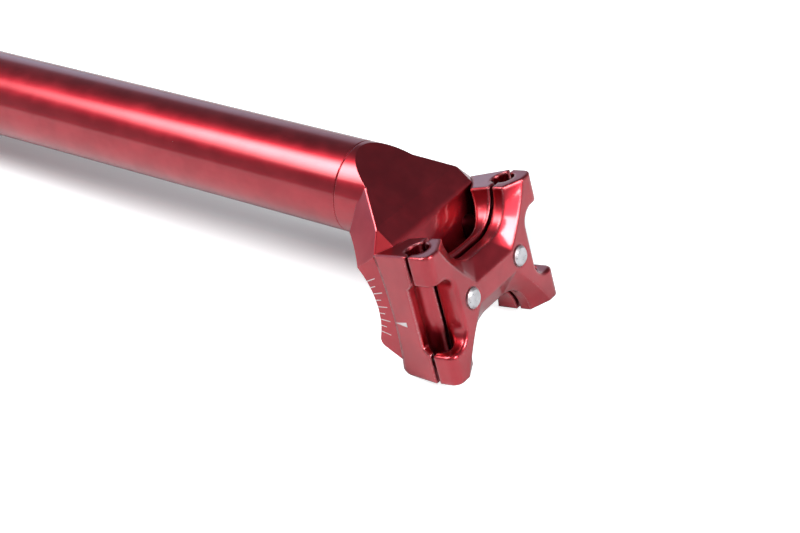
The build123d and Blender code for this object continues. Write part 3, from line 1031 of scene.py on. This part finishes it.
def add_camera(stage):
    """The camera, level with the table but for its roll."""
    data = bpy.data.cameras.new("camera")
    data.sensor_width = 36.0
    data.lens = stage.camera_lens
    camera = bpy.data.objects.new("camera", data)
    bpy.context.scene.collection.objects.link(camera)
    place = Vector(stage.camera_place)
    forward = (Vector(stage.camera_aim) - place).normalized()
    right = forward.cross(table_up).normalized()
    right.rotate(Matrix.Rotation(stage.camera_roll, 3, forward))
    upward = right.cross(forward)
    turn = Matrix((right, upward, -forward)).transposed().to_4x4()
    camera.matrix_world = Matrix.Translation(place) @ turn
    bpy.context.scene.camera = camera


class SEATPOST_OT_stage(bpy.types.Operator):
    """Set the white table, the studio lights and the camera"""

    bl_idname = "seatpost.stage"
    bl_label = "Set the Stage"

    def execute(self, context):
        """Builds all that isn't part of the seatpost."""
        stage = context.scene.seatpost_stage
        add_table(stage)
        add_room(stage)
        add_softbox(
            "left softbox", azimuth=-120, elevation=45.5, distance=0.9,
            width=0.53, height=0.72, radiance=9.4, side_fade=0.47, foot_fade=0.5,
        )
        add_softbox(
            "right softbox", azimuth=88, elevation=31, distance=0.9,
            width=0.42, height=0.35, radiance=13.0,
        )
        add_camera(stage)
        context.scene.view_settings.view_transform = "Standard"
        return {"FINISHED"}


class SEATPOST_PT_panel(bpy.types.Panel):
    """The seatpost's panel in the sidebar"""

    bl_idname = "SEATPOST_PT_panel"
    bl_label = "Seatpost"
    bl_space_type = "VIEW_3D"
    bl_region_type = "UI"
    bl_category = "Seatpost"

    def draw(self, context):
        """Lists the operators and their settings."""
        for settings, operators in PANEL_ROWS:
            box = self.layout.box()
            group = getattr(context.scene, settings)
            for name in group.bl_rna.properties.keys():
                if name not in ("rna_type", "name"):
                    box.prop(group, name)
            for operator in operators:
                box.operator(operator.bl_idname)


PANEL_ROWS = (
    ("seatpost_anodised", (SEATPOST_OT_tube, SEATPOST_OT_head, SEATPOST_OT_clamp)),
    ("seatpost_steel", (SEATPOST_OT_fasteners,)),
    ("seatpost_scale", (SEATPOST_OT_scale,)),
    ("seatpost_stage", (SEATPOST_OT_stage,)),
)
SETTINGS = {
    "seatpost_anodised": SEATPOST_PG_anodised,
    "seatpost_steel": SEATPOST_PG_steel,
    "seatpost_scale": SEATPOST_PG_scale,
    "seatpost_stage": SEATPOST_PG_stage,
}
CLASSES = (
    *SETTINGS.values(),
    SEATPOST_OT_tube,
    SEATPOST_OT_head,
    SEATPOST_OT_clamp,
    SEATPOST_OT_fasteners,
    SEATPOST_OT_scale,
    SEATPOST_OT_stage,
    SEATPOST_PT_panel,
)


def register():
    """Registers the settings, operators and panel."""
    for cls in CLASSES:
        bpy.utils.register_class(cls)
    for name, settings in SETTINGS.items():
        setattr(bpy.types.Scene, name, PointerProperty(type=settings))


def unregister():
    """Removes the panel, operators and settings."""
    for name in SETTINGS:
        delattr(bpy.types.Scene, name)
    for cls in reversed(CLASSES):
        bpy.utils.unregister_class(cls)


def main():
    """Builds the whole scene."""
    register()
    bpy.ops.seatpost.tube()
    bpy.ops.seatpost.head()
    bpy.ops.seatpost.clamp()
    bpy.ops.seatpost.fasteners()
    bpy.ops.seatpost.scale()
    bpy.ops.seatpost.stage()


if __name__ == "__main__":
    main()
